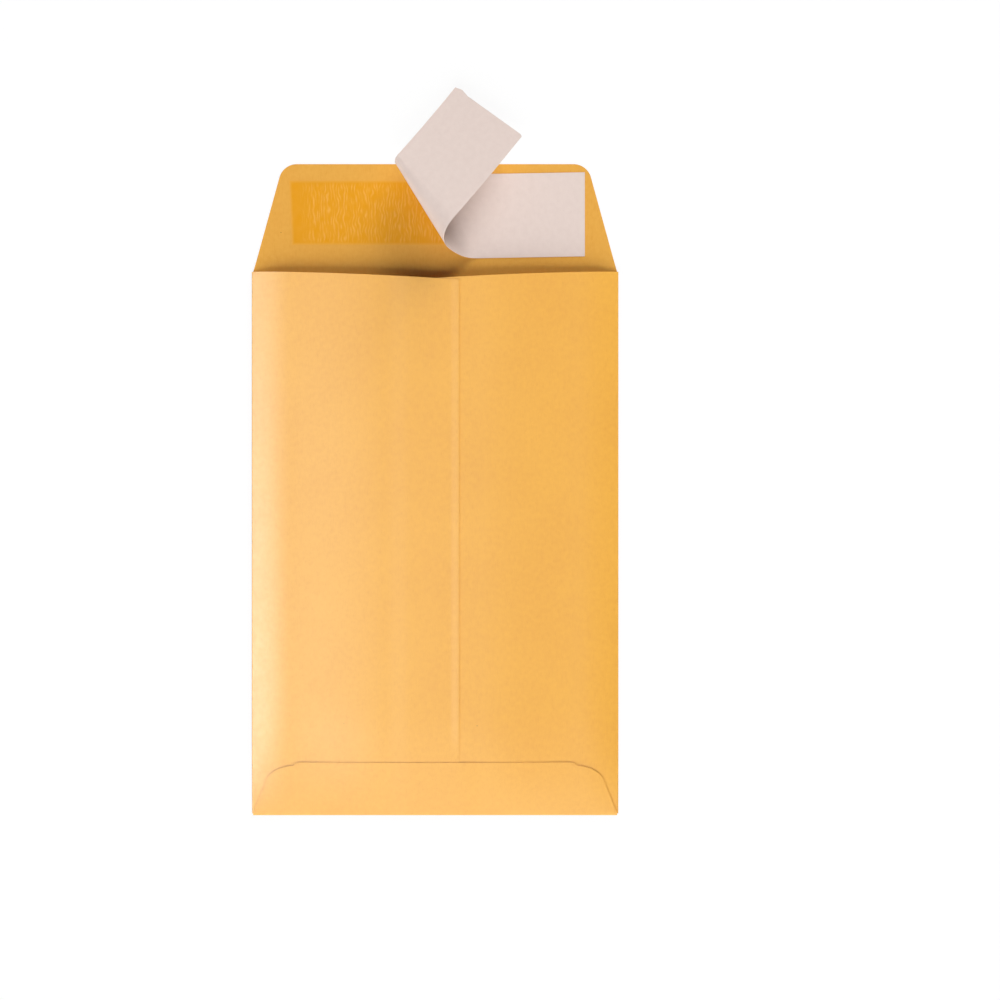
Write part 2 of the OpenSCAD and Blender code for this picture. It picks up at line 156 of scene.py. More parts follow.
class LinerSettings(bpy.types.PropertyGroup):
    """Sizes and colour of the release liner."""
    length: length("Length", "Length of the liner when it lies flat", 128.0)
    width: length("Width", "Width of the liner", 35.0)
    thickness: length("Thickness", "Thickness of the liner", 0.09)
    under: length("Under", "Distance from the adhesive's lower edge to the liner's", 4.7)
    over: length("Over", "Distance that the stuck end reaches past the adhesive", 1.5)
    skew: angle("Skew", "Turn of the stuck liner from the line of the adhesive", 1.0)
    stuck: length("Stuck", "Length that is still stuck down, along its middle", 53.3)
    roll: length("Roll", "Length that is in the roll, along its middle", 32.2)
    roll_from: angle("Roll from", "Angle of the roll's first fold line from the strip", 117.0)
    roll_to: angle("Roll to", "Angle of the roll's last fold line from the strip", 101.7)
    roll_bow: angle("Roll bow", "Further angle of the fold line halfway through the roll", 12.0)
    roll_turn: angle("Roll turn", "Angle that the roll turns the strip through", 198.0)
    tighten: share("Tighten", "Share by which the roll tightens towards its end", 0.6)
    flatten: share("Flatten", "Share by which the roll is tighter at its ends than halfway", 1.7)
    free_turn: angle("Free turn", "Angle that the free end bends back through", 12.0)
    bulge: length("Bulge", "Bulge of the torn free end beside its corner", 0.9)
    nip: length("Nip", "Size of the other corner, which is rounded off", 0.6)
    paper: colour("Paper", "Colour of the liner", "#e0cfc7")
    cloud: colour("Cloud", "Colour of the denser places in the liner", "#dac8c0")


class StudioSettings(bpy.types.PropertyGroup):
    """The floor, the lamps and the camera."""
    floor: colour("Floor", "Colour of the floor", "#ffffff")
    floor_glow: share("Floor glow", "Share of the floor that shows plain white to the camera", 0.9)
    key: share("Key", "Power of the key lamp in watts", 139.0)
    fill: share("Fill", "Power of the low fill lamp behind the seal flap in watts", 57.0)
    sheen: share("Sheen", "Power of the sheen card in watts", 59.0)
    sky: share("Sky", "Strength of the even light from all sides", 0.09)
    focal: bpy.props.FloatProperty(name="Focal length", description="Focal length of the camera",
                                   default=100.0, unit="CAMERA")
    camera: bpy.props.FloatVectorProperty(name="Camera", description="Place of the camera over the table",
                                          size=3, default=(0.02698, 0.01686, 1.1567),
                                          subtype="TRANSLATION")


def add_node(tree, kind, inputs=(), **settings):
    """Add a node with its settings, and give its inputs values or links.

    The inputs are a list in the node's own order, or a dict by name or number. A link comes from a
    socket or from a node's first output, and a list in place of one value makes several links.
    """
    node = tree.nodes.new(kind)
    for name, value in settings.items():
        setattr(node, name, value)
    for key, value in inputs.items() if isinstance(inputs, dict) else enumerate(inputs):
        for source in value if isinstance(value, list) else [value]:
            if isinstance(source, bpy.types.Node):
                source = source.outputs[0]
            if isinstance(source, bpy.types.NodeSocket):
                tree.links.new(source, node.inputs[key])
            else:
                node.inputs[key].default_value = source
    return node


def new_material(name):
    """A material with an empty tree, and the tree."""
    material = bpy.data.materials.new(name)
    material.use_nodes = True
    material.node_tree.nodes.clear()
    return material, material.node_tree


def mottle(tree, place, size, low, high, detail=2.0, roughness=0.5):
    """A share from 0 to 1 that varies in blotches of that size: noise, spread between low and high."""
    noise = add_node(tree, NOISE, {
        "Vector": place, "Scale": 1.0 / size, "Detail": detail, "Roughness": roughness})
    return add_node(tree, RANGE, [noise, low, high])


def streaks(tree, place, turn, narrow, size, low, high, detail=2.0):
    """The same in streaks, turned by an angle and narrower than long by that share."""
    drawn_out = add_node(tree, "ShaderNodeMapping", {
        "Vector": place, "Rotation": (0.0, 0.0, turn), "Scale": (1.0, narrow, 1.0)})
    return mottle(tree, drawn_out, size, low, high, detail)


def kraft_paper(settings, name, base, roughness, gloss):
    """Unbleached kraft paper: a cloudy formation of long fibres, glazed on its outer side.

    The eye gets pale and dark blotches 2 mm wide, hair-fine fibres and a rare speck of bark. The
    glazed side has a soft sheen, and the inner side is rougher and a little deeper in colour.
    """
    material, tree = new_material(name)
    add = partial(add_node, tree)
    place = add("ShaderNodeTexCoord").outputs["Object"]
    # Formation: the pulp flocks in blotches of about 2 mm, and slowly over 30 mm
    blotch = add(NOISE, {"Vector": place, "Scale": 1.0 / (1.9 * MM), "Detail": 3.0, "Roughness": 0.6})
    clouds = mottle(tree, place, 32 * MM, 0.3, 0.7)
    # Fibres are 0.03 mm thick, and drawn 0.3 mm thick and 3 mm long so that they show
    along = streaks(tree, place, 0.25, 0.12, 0.33 * MM, 0.56, 0.74, 1.0)
    across = streaks(tree, place, 1.35, 0.14, 0.36 * MM, 0.57, 0.76, 1.0)
    fibres = add(MATHS, [along, across], operation="MAXIMUM")
    shade = add(MATHS, [
        add(RANGE, [blotch, 0.3, 0.72]), 0.22, add(MATHS, [clouds, 0.16], operation="MULTIPLY")],
        operation="MULTIPLY_ADD")
    shade = add(MATHS, [fibres, 0.18, shade], operation="MULTIPLY_ADD")
    paper = add(BLEND, {0: shade, 6: rgba(base), 7: rgba(settings.fibre)}, data_type="RGBA").outputs[2]
    # Bark specks up to 0.5 mm wide, in some of the cells of 9 mm
    cells = add("ShaderNodeTexVoronoi", {"Vector": place, "Scale": 1.0 / (9 * MM)})
    chance = add("ShaderNodeSeparateColor", [cells.outputs["Color"]])
    rare = add(RANGE, [chance, 0.8, 0.82])
    speck = add(MATHS, [rare, add(RANGE, [cells.outputs["Distance"], 0.03, 0.015])], operation="MULTIPLY")
    paper = add(BLEND, {
        0: add(MATHS, [speck, 0.7], operation="MULTIPLY"), 6: paper, 7: rgba(settings.speck)},
        data_type="RGBA").outputs[2]
    # The felt side's tooth, a few hundredths of a millimetre deep
    tooth = add(MATHS, [
        fibres, 0.5, add(NOISE, {"Vector": place, "Scale": 1.0 / (0.7 * MM)})], operation="MULTIPLY_ADD")
    bump = add("ShaderNodeBump", {"Strength": 0.5, "Distance": 0.02 * MM, "Height": tooth})
    sheen = add(RANGE, [blotch, 0.3, 0.7, roughness - 0.03, roughness + 0.03])
    shader = add("ShaderNodeBsdfPrincipled", {
        "Base Color": paper, "Roughness": sheen, "IOR": 1.45, "Specular IOR Level": gloss,
        "Normal": bump})
    add("ShaderNodeOutputMaterial", [shader])
    return material


def kraft_cut_edge(settings):
    """The die-cut edge of the same paper: open fibre ends, darker and without the glaze."""
    material, tree = new_material("kraft_paper_die_cut_edge")
    add = partial(add_node, tree)
    place = add("ShaderNodeTexCoord").outputs["Object"]
    ends = mottle(tree, place, 0.4 * MM, 0.3, 0.7)
    paper = add(BLEND, {
        0: ends, 6: rgba(settings.edge), 7: rgba(settings.inner)}, data_type="RGBA").outputs[2]
    shader = add("ShaderNodeBsdfPrincipled", {"Base Color": paper, "Roughness": 0.8, "IOR": 1.5})
    add("ShaderNodeOutputMaterial", [shader])
    return material


def clamp01(v):
    """Held between 0 and 1."""
    return np.clip(v, 0.0, 1.0)


def smooth(v):
    """The smooth step that drapes paper from one level to another."""
    u = clamp01(v)
    return u * u * (3.0 - 2.0 * u)


def mix(a, b, f):
    """Between a and b by the share f."""
    return a + (b - a) * f


class Envelope:
    """The surfaces of the folded sheet, at the middle of the paper, by the rules of the CAD source."""
    # Distances over which the paper eases into another form
    above_flap = 30 * MM
    beside_fold = 20 * MM
    seam_edge = 4 * MM
    seam_end = 10 * MM
    flap_edge = 2.5 * MM
    seal_foot = 4 * MM
    # Courses of the curves: the flap's corner, the mouth's edge and the shoulders under the cushion
    corner_pull = (0.69, 0.94)
    mouth_curve = 1.6
    shoulder_spread = 0.6

    def __init__(self, s):
        self.s = s
        self.half = s.width / 2 - s.paper / 2 - s.fold_radius
        self.fold_y = -s.height / 2 + s.paper / 2 + s.fold_reach
        self.score_y = s.height / 2
        self.mouth_y = self.score_y - s.throat_drop
        self.lap_left = s.lap - s.seam
        self.flap_y = -s.height / 2 + s.flap_height
        self.swell_y = self.flap_y + s.swell_run
        self.seal_y = self.score_y + s.seal_height
        self.flat_half = max(self.lap_left, s.seam) + s.drape
        self.flat_level = s.paper / 2 + 2 * s.fold_radius
        self.crown_level = s.mouth_gap + 1.5 * s.paper
        self.layer = s.paper + s.glue
        self.fan_x = mix(self.flat_half, self.half - s.shoulder_width, 0.5)

    def swell(self, y):
        """Share of the full swell at height y, 0 at the bottom fold."""
        run = self.swell_y - self.fold_y
        return 1.0 - clamp01((self.swell_y - y) / run) ** 2

    def belly(self, y):
        """Share of the shoulder's rise at height y, falling towards the mouth."""
        up = clamp01((y - self.swell_y) / (self.mouth_y - self.swell_y))
        return 1.0 - self.s.mouth_pinch * up ** 2

    def cushion(self, inwards, y, slope):
        """Fuller course of the back's rise than the even slope, none under the bottom flap."""
        full = 1.0 - (1.0 - clamp01(inwards / (self.half - self.flat_half))) ** 2
        return self.s.cushion * (full - slope) * smooth((y - self.flap_y) / self.above_flap)

    def ripple(self, x, y):
        """Slow waves that lying about leaves in paper, none at the side folds and the bottom flap."""
        wave = np.sin(x / 0.0215 + 1.3 * np.sin(y / 0.047)) * np.sin(y / 0.034 + 0.8)
        wave = wave + 0.6 * np.sin((x + 0.5 * y) / 0.017 + 2.1)
        inwards = smooth((self.half - np.abs(x)) / self.beside_fold)
        return 0.5 * self.s.wave * wave * (inwards * smooth((y - self.flap_y) / self.above_flap))

    def front(self, x, y):
        """Height of the front panel."""
        inwards = clamp01((self.half - np.abs(x)) / self.s.shoulder_width)
        return self.s.paper / 2 + self.s.front_rise * self.swell(y) * (1.0 - inwards) ** 2

    def back(self, x, y):
        """Height of the lower back panel."""
        inwards = self.half - np.abs(x)
        swell = self.swell(y)
        side = self.flat_level + self.s.front_rise * swell
        rise = self.s.shoulder_rise * swell * self.belly(y)
        top = mix(self.flat_level, self.crown_level, swell)
        shoulder = self.s.shoulder_width
        softer = 1.0 + self.shoulder_spread * self.s.cushion
        curve = 1.0 - (1.0 - clamp01(inwards / shoulder / softer)) ** 2
        slope = smooth((inwards - shoulder) / (self.half - shoulder - self.flat_half))
        slope = slope + self.cushion(inwards, y, slope)
        return side + rise * curve + (top - side - rise) * slope + self.ripple(x, y)

    def left_lift(self, x):
        """Rise of the upper back panel over the lower one."""
        return self.layer * smooth((x + self.lap_left + self.s.drape) / self.s.drape)

    def edge_lift(self, x, y):
        """Lift of the upper back panel's free edge, none where the bottom flap holds it down."""
        near = smooth((x - self.s.seam) / self.seam_edge + 1.0)
        return self.s.seam_lift * near * smooth((y - self.flap_y) / self.seam_end - 0.3)

    def flap_rise(self, x):
        """Rise of the bottom flap over both back panels."""
        right = self.layer * smooth((self.s.seam + self.s.drape - x) / self.s.drape)
        loose = clamp01((np.abs(x) - self.fan_x) / (self.half - self.fan_x))
        return self.layer + np.minimum(self.left_lift(x), right) + self.s.flap_lift * loose

    def flap_curl(self, y):
        """Lift of the bottom flap's straight edge, which lies beyond the glue."""
        return self.s.flap_curl * smooth((y - self.flap_y) / self.flap_edge + 1.0)

    def mouth_edge(self, u):
        """Height of the mouth's edge, by the share from the side fold to the free edge."""
        return self.mouth_y - self.s.throat_dip * clamp01(u) ** self.mouth_curve

    def seal_side(self, y):
        """Half the seal flap's width at height y."""
        return self.half - (y - self.mouth_y) * math.tan(self.s.seal_taper)


def spread(start, end, count, ease=0.0):
    """Values from start to end, closer together at the start by the share ease."""
    u = np.linspace(0.0, 1.0, count)
    return start + (end - start) * mix(u, u * u, ease)


def outline_points(corners, shares):
    """Points along a polyline at shares of its length, the nearest ones moved onto its last corners."""
    corners = np.array(corners)
    steps = np.hypot(*np.diff(corners, axis=0).T)
    at = np.concatenate([[0.0], np.cumsum(steps)]) / steps.sum()
    for corner in at[-3:-1]:
        away = np.abs(shares - corner)
        shares = np.where(np.isclose(away, away.min()), corner, shares)
    return np.column_stack([np.interp(shares, at, corners[:, 0]), np.interp(shares, at, corners[:, 1])])


def seal_outline(env):
    """The seal flap's end from its corner at the side to fan_x: an arc and the straight top."""
    s = env.s
    arc_x = env.seal_side(env.seal_y) - s.seal_radius * math.tan((math.pi / 2 - s.seal_taper) / 2)
    turns = np.linspace(s.seal_taper, math.pi / 2, 25)
    arc = [(arc_x + s.seal_radius * math.cos(a), env.seal_y - s.seal_radius * (1 - math.sin(a)))
           for a in turns]
    return arc + [(env.fan_x, env.seal_y)]


def flap_outline(env):
    """The bottom flap's end from its side to fan_x: a curved corner, the step and the edge."""
    s = env.s
    corner_x = env.half - s.flap_inset - s.flap_corner
    top = env.flap_y - s.flap_step
    low = top - (s.flap_height - s.flap_step - s.flap_side)
    start = np.array([corner_x + s.flap_corner, low])
    out, up = env.corner_pull
    pull = np.array([corner_x + out * s.flap_corner, mix(low, top, up)])
    end = np.array([corner_x, top])
    arc = [tuple(mix(mix(start, pull, u), mix(pull, end, u), u)) for u in np.linspace(0.0, 1.0, 25)]
    return arc + [(corner_x - 0.5 * s.flap_step, env.flap_y), (env.fan_x, env.flap_y)]


def fan_ends(env, xs, outline, end_y):
    """Where each column of a flap ends: on the corner's outline near the sides, else straight up."""
    ends = np.column_stack([np.abs(xs), np.full(len(xs), end_y)])
    outer = np.abs(xs) > env.fan_x
    shares = (env.half - np.abs(xs[outer])) / (env.half - env.fan_x)
    ends[outer] = outline_points(outline, shares)
    return ends


def sheet_grids(env):
    """The sheet's points, and the numbers of its three grids: tube, seal flap and bottom flap."""
    s = env.s
    half = env.half
    shoulder = half - s.shoulder_width
    right = np.concatenate([
        spread(0.0, env.fan_x, 19)[:-1],
        spread(env.fan_x, shoulder, 16)[:-1],
        spread(half, shoulder, 22, ease=0.5)[::-1]])
    front = np.concatenate([-right[:0:-1], right])
    low = np.concatenate([spread(env.fold_y, env.flap_y, 15)[:-1], spread(env.flap_y, env.swell_y, 10)])
    high = spread(0.0, 1.0, 64)[1:]
    bend_count = 12
    side_turns = np.linspace(-math.pi / 2, math.pi / 2, bend_count + 1)[1:-1]

    def heights(edge):
        return np.concatenate([low, mix(env.swell_y, edge, high)])

    left_xs = np.concatenate([spread(s.seam, -env.fan_x, 48, ease=0.7)[:-1], -right[right >= env.fan_x]])
    right_xs = np.concatenate([right[right >= env.fan_x][::-1], spread(env.fan_x, -env.lap_left, 40)[1:]])
    columns = []
    for x in left_xs:
        y = heights(env.mouth_edge((half + x) / (half + s.seam)))
        z = env.back(x, y) + env.left_lift(x) + env.edge_lift(x, y)
        columns.append(np.column_stack([np.full(len(y), x), y, z]))
    side_y = heights(env.mouth_y)
    front_h = env.front(half, side_y)
    back_h = env.back(half, side_y)

    def side_fold(side, turns):
        for a in turns:
            z = (front_h + back_h) / 2 + (back_h - front_h) / 2 * math.sin(a)
            x = side * (half + s.fold_radius * math.cos(a))
            columns.append(np.column_stack([np.full(len(side_y), x), side_y, z]))

    side_fold(-1, side_turns[::-1])
    front_at = len(columns)
    for x in front:
        columns.append(np.column_stack([np.full(len(side_y), x), side_y, env.front(x, side_y)]))
    side_fold(1, side_turns)
    for x in right_xs:
        y = heights(env.mouth_edge((half - x) / (half + env.lap_left)))
        columns.append(np.column_stack([np.full(len(y), x), y, env.back(x, y)]))
    tube = np.stack(columns, axis=1)
    rows, cols = tube.shape[:2]
    numbers = np.arange(rows * cols).reshape(rows, cols)
    points = [tube.reshape(-1, 3)]
    count = rows * cols

    def add_rows(grid):
        nonlocal count
        grid = np.array(grid)
        points.append(grid.reshape(-1, 3))
        made = np.arange(count, count + grid.shape[0] * grid.shape[1]).reshape(grid.shape[:2])
        count += made.size
        return made

    def signed(xs, pairs):
        return np.sign(xs) * pairs[:, 0], pairs[:, 1]

    # Seal flap: straight rows over the score line, then rows that fan out to the rounded corners
    foot_y = env.score_y + env.seal_foot
    score = [env.score_y + s.score_width * k for k in (-1.0, -0.5, -0.25, 0.0, 0.25, 0.5, 1.0)]
    straight = np.array(score + list(spread(score[-1], foot_y, 6)[1:]))
    ends = fan_ends(env, front, seal_outline(env), env.seal_y)
    lift = env.front(front, env.mouth_y) - s.paper / 2
    seal_rows = []
    for y in straight:
        x = front * env.seal_side(y) / half
        fade = clamp01(1.0 - (y - env.mouth_y) / (foot_y - env.mouth_y)) ** 2
        groove = s.score_depth * math.exp(-((y - env.score_y) / (0.5 * s.score_width)) ** 2)
        seal_rows.append(np.column_stack([x, np.full(len(x), y), s.paper / 2 + lift * fade + groove]))
    base = seal_rows[-1]
    for u in np.linspace(0.0, 1.0, 34)[1:]:
        x, y = signed(front, mix(np.abs(base[:, :2]), ends, u))
        seal_rows.append(np.column_stack([x, y, np.full(len(x), s.paper / 2)]))
    seal = np.vstack([numbers[-1:, front_at:front_at + len(front)], add_rows(seal_rows)])

    # Bottom flap: the fold's rings, then rows that fan out to the rounded corners
    ends = fan_ends(env, front, flap_outline(env), env.flap_y)
    start = np.column_stack([np.abs(front), np.full(len(front), env.fold_y)])
    start_z = env.back(front, env.fold_y) + env.flap_rise(front)
    flap_rows = []
    low_z = env.front(front, env.fold_y)
    for a in side_turns:
        z = (low_z + start_z) / 2 + (start_z - low_z) / 2 * math.sin(a)
        y = np.full(len(front), env.fold_y - s.fold_reach * math.cos(a))
        flap_rows.append(np.column_stack([front, y, z]))
    for u in np.linspace(0.0, 1.0, 26):
        x, y = signed(front, mix(start, ends, u))
        flap_rows.append(np.column_stack([x, y, env.back(x, y) + env.flap_rise(x) + env.flap_curl(y)]))
    flap = np.vstack([numbers[:1, front_at:front_at + len(front)], add_rows(flap_rows)])
    return np.vstack(points), numbers, seal, flap


def grid_faces(numbers, turned=False):
    """Four-sided faces of a grid of point numbers."""
    a, b = numbers[:-1, :-1], numbers[:-1, 1:]
    c, d = numbers[1:, 1:], numbers[1:, :-1]
    order = (b, a, d, c) if turned else (a, b, c, d)
    return np.stack(order, axis=-1).reshape(-1, 4).tolist()


def finish_mesh(mesh, sharp=40.0):
    """Smooth shading with hard cut edges."""
    mesh.shade_smooth()
    mesh.set_sharp_from_angle(angle=math.radians(sharp))
    mesh.update()


def link(name, mesh):
    """A new object in the scene with that mesh."""
    piece = bpy.data.objects.new(name, mesh)
    bpy.context.scene.collection.objects.link(piece)
    return piece


def apply_modifiers(piece, name):
    """Turn the evaluated object into a plain mesh and remove its modifiers."""
    bpy.context.view_layer.update()
    evaluated = piece.evaluated_get(bpy.context.evaluated_depsgraph_get())
    mesh = bpy.data.meshes.new_from_object(evaluated)
    mesh.name = name
    piece.modifiers.clear()
    piece.data = mesh
    if not mesh.polygons:
        raise RuntimeError(f"{name} came out empty")
    return piece


class ENVELOPE_OT_sheet(bpy.types.Operator):
    """Fold the kraft sheet into the front, the two back panels and both flaps"""
    bl_idname = "envelope.sheet"
    bl_label = "Fold the kraft sheet"

    def execute(self, context):
        settings = context.scene.envelope_sheet
        env = Envelope(settings)
        points, tube, seal, flap = sheet_grids(env)
        mesh = bpy.data.meshes.new("folded_kraft_sheet")
        faces = grid_faces(tube) + grid_faces(seal) + grid_faces(flap, turned=True)
        mesh.from_pydata(points.tolist(), [], faces)
        for material in (
                kraft_paper(settings, "kraft_paper_inner_side", settings.inner, 0.7, 0.06),
                kraft_paper(settings, "kraft_paper_machine_glazed", settings.kraft, 0.48, 0.5),
                kraft_cut_edge(settings)):
            mesh.materials.append(material)
        piece = link("folded_kraft_sheet", mesh)
        solid = piece.modifiers.new("paper", "SOLIDIFY")
        solid.thickness = settings.paper
        solid.offset = 0.0
        # The mesh's own faces look into the envelope
        solid.material_offset = 1
        solid.material_offset_rim = 2
        apply_modifiers(piece, "folded_kraft_sheet")
        finish_mesh(piece.data)
        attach(piece, "root")
        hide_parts("envelope_sheet")
        return {"FINISHED"}


def size_inputs(settings, *names):
    """Inputs of a tree from those sizes of a group: their labels, each with its value and its unit."""
    units = {"LENGTH": "DISTANCE", "ROTATION": "ANGLE", "NONE": "NONE"}
    rules = settings.bl_rna.properties
    return {rules[name].name: (getattr(settings, name), units[rules[name].unit]) for name in names}


def new_tree(name, inputs):
    """A geometry node tree with those named inputs, and the sockets of its input node."""
    tree = bpy.data.node_groups.new(name, "GeometryNodeTree")
    for label, (value, unit) in inputs.items():
        kind = "NodeSocketFloat" if isinstance(value, float) else "NodeSocketVector"
        socket = tree.interface.new_socket(label, in_out="INPUT", socket_type=kind)
        socket.subtype = unit
        socket.default_value = value
    tree.interface.new_socket("Geometry", in_out="OUTPUT", socket_type="NodeSocketGeometry")
    return tree, add_node(tree, "NodeGroupInput").outputs


def finish_tree(tree, geometry, material):
    """End a tree in Realize Instances and Set Material."""
    add = partial(add_node, tree)
    real = add("GeometryNodeRealizeInstances", {"Geometry": geometry})
    dressed = add("GeometryNodeSetMaterial", {"Geometry": real, "Material": material})
    add("NodeGroupOutput", [dressed])


def run_tree(name, tree, inputs):
    """A piece made by a geometry node tree with those inputs."""
    piece = link(name, bpy.data.meshes.new(name))
    modifier = piece.modifiers.new(name, "NODES")
    modifier.node_group = tree
    names = {item.name: item.identifier for item in tree.interface.items_tree
             if item.item_type == "SOCKET" and item.in_out == "INPUT"}
    for label, (value, _) in inputs.items():
        modifier[names[label]] = value
    apply_modifiers(piece, name)
    finish_mesh(piece.data)
    return piece


def close_shell(tree, raised, base):
    """The raised side and the base turned to face down, joined into one closed shell."""
    under = add_node(tree, "GeometryNodeFlipFaces", [base])
    both = add_node(tree, "GeometryNodeJoinGeometry", {0: [raised, under]})
    return add_node(tree, "GeometryNodeMergeByDistance", {"Geometry": both, "Distance": 0.005 * MM})


def thicken(tree, mesh, thickness):
    """A sheet given its thickness along its normals, as a closed shell that faces outwards."""
    add = partial(add_node, tree)
    lower = add(MATHS, [thickness, -0.5], operation="MULTIPLY")
    normal = add("GeometryNodeInputNormal")
    shift = add(VECTORS, {0: normal, "Scale": lower}, operation="SCALE")
    base = add("GeometryNodeSetPosition", {"Geometry": mesh, "Offset": shift})
    raised = add("GeometryNodeExtrudeMesh", {
        "Mesh": base, "Offset": normal, "Offset Scale": thickness, "Individual": False}, mode="FACES")
    return close_shell(tree, raised, base)


def adhesive_film(settings, kraft):
    """Hot-melt adhesive film: amber and slightly glossy, wrinkled where the liner was pulled off.

    The crests of the crinkles are painted paler, a painted highlight in place of their glints, and the kraft
    paper shows through the rim.
    """
    material, tree = new_material("hot_melt_adhesive_film")
    add = partial(add_node, tree)
    place = add("ShaderNodeTexCoord").outputs["Object"]
    # The crest share paints a highlight: a paler colour on the crests of the crinkles
    crest = add("ShaderNodeAttribute", attribute_name="crest").outputs["Fac"]
    cloud = add(RANGE, [add(NOISE, {"Vector": place, "Scale": 1.0 / (4 * MM)}), 0.3, 0.7, 0.0, 0.12])
    amount = add(MATHS, [crest, 0.7, cloud], operation="MULTIPLY_ADD")
    film = add(BLEND, {
        0: amount, 6: rgba(settings.amber), 7: rgba(settings.crest)}, data_type="RGBA").outputs[2]
    rim = add("ShaderNodeAttribute", attribute_name="rim").outputs["Fac"]
    film = add(BLEND, {
        0: add(MATHS, [rim, 0.7], operation="MULTIPLY"), 6: film, 7: rgba(kraft)},
        data_type="RGBA").outputs[2]
    fine = add(NOISE, {"Vector": place, "Scale": 1.0 / (0.8 * MM)})
    bump = add("ShaderNodeBump", {"Strength": 0.25, "Distance": 0.02 * MM, "Height": fine})
    shader = add("ShaderNodeBsdfPrincipled", {
        "Base Color": film, "Roughness": 0.38, "IOR": 1.42, "Specular IOR Level": 0.13, "Normal": bump})
    add("ShaderNodeOutputMaterial", [shader])
    return material


def adhesive_tree(material, inputs):
    """The adhesive strip: a fine grid raised in crinkles that run up the flap, wander and break off."""
    tree, ins = new_tree("crinkled_adhesive", inputs)
    add = partial(add_node, tree)
    half_l = add(MATHS, [ins["Length"], 0.5], operation="MULTIPLY")
    half_h = add(MATHS, [ins["Height"], 0.5], operation="MULTIPLY")
    grid = add("GeometryNodeMeshGrid", {
        "Size X": ins["Length"], "Size Y": ins["Height"], "Vertices X": 640, "Vertices Y": 46})
    flat = add("ShaderNodeSeparateXYZ", [add("GeometryNodeInputPosition")]).outputs
    # The left end slants: its lower points move right
    left = add(RANGE, [flat[0], add(MATHS, [half_l, -1.0], operation="MULTIPLY"), half_l, 1.0, 0.0])
    below = add(RANGE, [flat[1], add(MATHS, [half_h, -1.0], operation="MULTIPLY"), half_h, 1.0, 0.0])
    shift = add(MATHS, [
        add(MATHS, [left, below], operation="MULTIPLY"), ins["Slant"]], operation="MULTIPLY")
    # Even waves that wander sideways, 1 at a crest and 0 between two crests
    across = add(MATHS, [flat[0], ins["Spacing"]], operation="DIVIDE")
    along = add(MATHS, [flat[1], ins["Run"]], operation="DIVIDE")
    slow = add(MATHS, [across, 0.35], operation="MULTIPLY")
    wander = add(NOISE, {"Vector": add(POINT, [slow, along, ins["Seed"]]), "Scale": 1.0, "Detail": 1.0})
    phase = add(MATHS, [wander, 3.0, across], operation="MULTIPLY_ADD")
    wave = add(MATHS, [add(MATHS, [phase, 2 * math.pi], operation="MULTIPLY")], operation="COSINE")
    wave = add(MATHS, [add(MATHS, [wave, 0.5, 0.5], operation="MULTIPLY_ADD"), 1.6], operation="POWER")
    # Each crest comes and goes along its run
    closer = add(MATHS, [across, 0.8], operation="MULTIPLY")
    pieces = add(NOISE, {"Vector": add(POINT, [closer, along, ins["Seed"]]), "Scale": 1.3, "Detail": 1.0})
    ridge = add(MATHS, [wave, add(RANGE, [pieces, 0.38, 0.6])], operation="MULTIPLY")
    # No crinkles in the margins, nor where the liner still lies on the strip
    end_x = add(MATHS, [half_l, add(MATHS, [flat[0]], operation="ABSOLUTE")], operation="SUBTRACT")
    end_y = add(MATHS, [half_h, add(MATHS, [flat[1]], operation="ABSOLUTE")], operation="SUBTRACT")
    margin = add(MATHS, [
        add(RANGE, [end_x, 3 * MM, 10 * MM]), add(RANGE, [end_y, 0.4 * MM, 2.4 * MM])],
        operation="MULTIPLY")
    place = add(POINT, [add(MATHS, [flat[0], shift], operation="ADD"), flat[1], 0.0])
    place = add(VECTORS, [place, ins["Place"]], operation="ADD")
    peeled = add(VECTORS, [
        add(VECTORS, [place, ins["Peel point"]], operation="SUBTRACT"), ins["Peel side"]],
        operation="DOT_PRODUCT").outputs[1]
    margin = add(MATHS, [margin, add(RANGE, [peeled, 0.5 * MM, 5 * MM])], operation="MULTIPLY")
    crest = add(MATHS, [ridge, margin], operation="MULTIPLY")
    # The crest share raises the crinkles and also paints their crests paler in the film's material, a
    # painted highlight
    marked = add("GeometryNodeStoreNamedAttribute", {
        "Geometry": grid, "Name": "crest", "Value": crest}, data_type="FLOAT", domain="POINT")
    # The film thins out along its rim
    rim = add(RANGE, [add(MATHS, [end_x, end_y], operation="MINIMUM"), 0.0, 1.2 * MM, 1.0, 0.0])
    marked = add("GeometryNodeStoreNamedAttribute", {
        "Geometry": marked, "Name": "rim", "Value": rim}, data_type="FLOAT", domain="POINT")
    kept = add("GeometryNodeInputNamedAttribute", {"Name": "crest"}, data_type="FLOAT")
    laid = add("GeometryNodeSetPosition", {"Geometry": marked, "Position": place})
    top = add("GeometryNodeExtrudeMesh", {
        "Mesh": laid, "Offset": (0.0, 0.0, 1.0), "Offset Scale": ins["Thickness"], "Individual": False},
        mode="FACES")
    lifted = add(POINT, [0.0, 0.0, add(MATHS, [kept, ins["Crinkle"]], operation="MULTIPLY")])
    raised = add("GeometryNodeSetPosition", {
        "Geometry": top, "Selection": top.outputs["Top"], "Offset": lifted})
    finish_tree(tree, close_shell(tree, raised, laid), material)
    return tree


